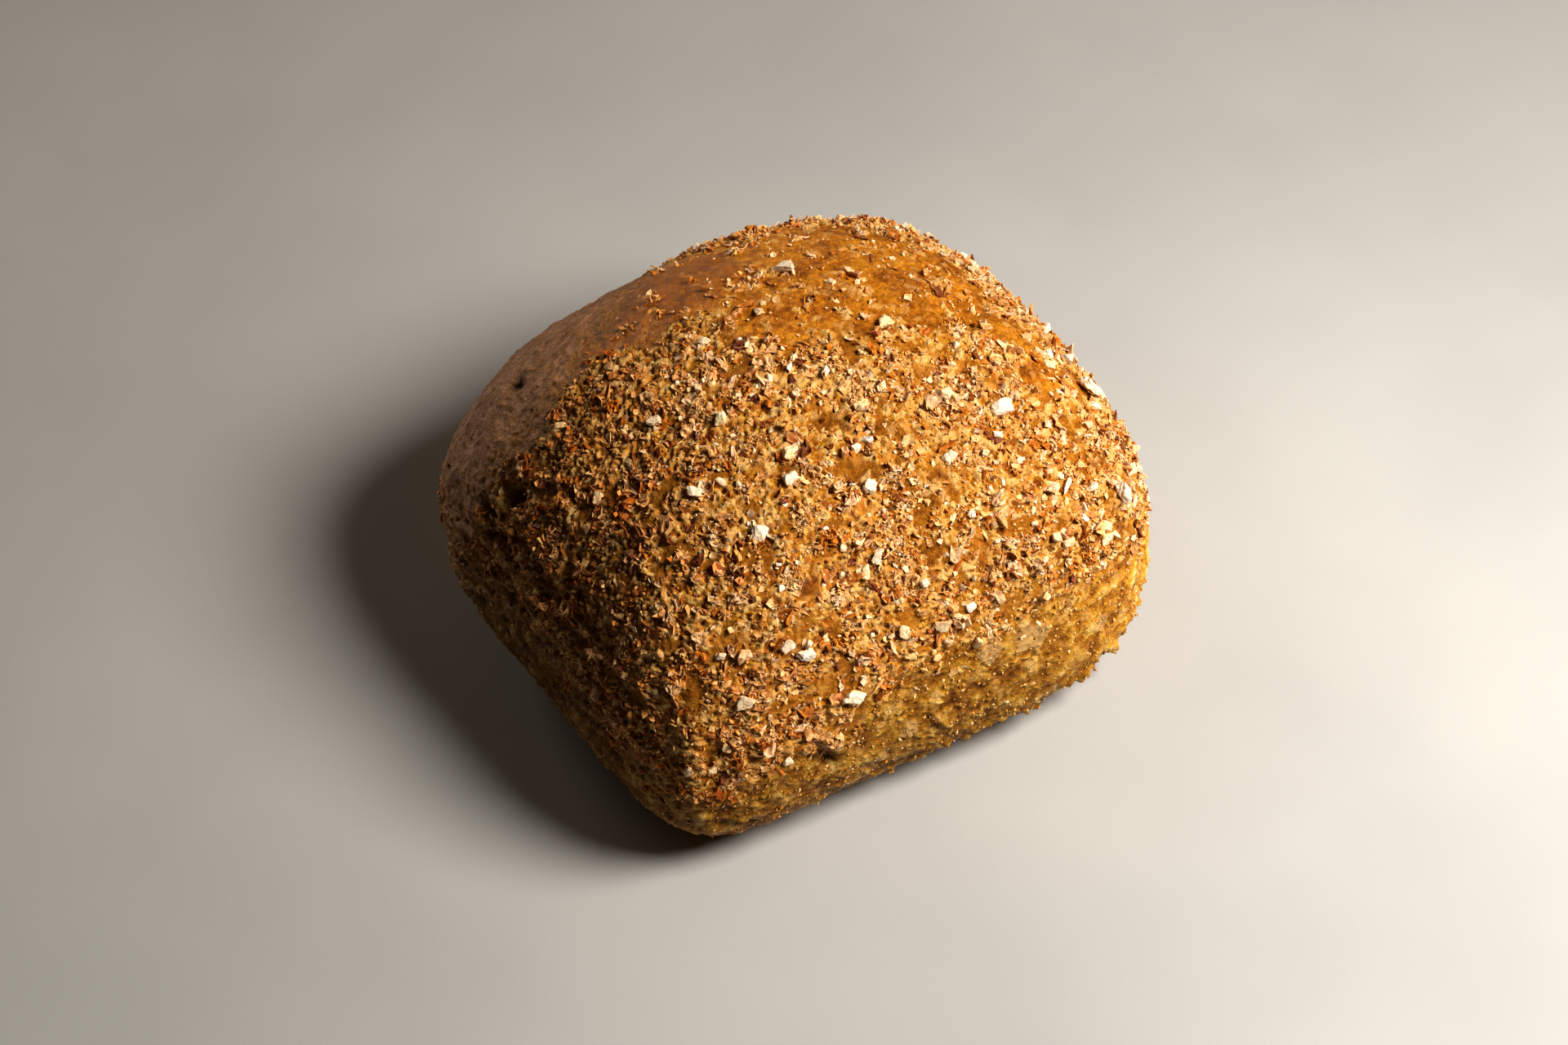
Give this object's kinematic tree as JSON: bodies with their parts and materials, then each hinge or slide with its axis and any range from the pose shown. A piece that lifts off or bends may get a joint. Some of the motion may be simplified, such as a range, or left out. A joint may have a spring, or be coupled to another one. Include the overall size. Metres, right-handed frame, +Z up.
{
  "type": "bread roll",
  "caption": "Square-cut wholegrain bread roll: a domed pillow shape with rounded corners, bulging sides and a flat base that it rests on.",
  "frame": {"origin": "middle of the roll's bounding box, on the flat base that it rests on", "axes": "+Z up from the base to the crown; +X and +Y along the cut sides, +X the longer way; the squarest corner is towards -X and -Y"},
  "size_m": [0.0918, 0.0864, 0.05],
  "materials": {
    "crust": "matt to satin golden-brown baked crust with a crumbly bran topping"
  },
  "bodies": {
    "root": {"bread_roll": "crust"}
  },
  "joints": []
}
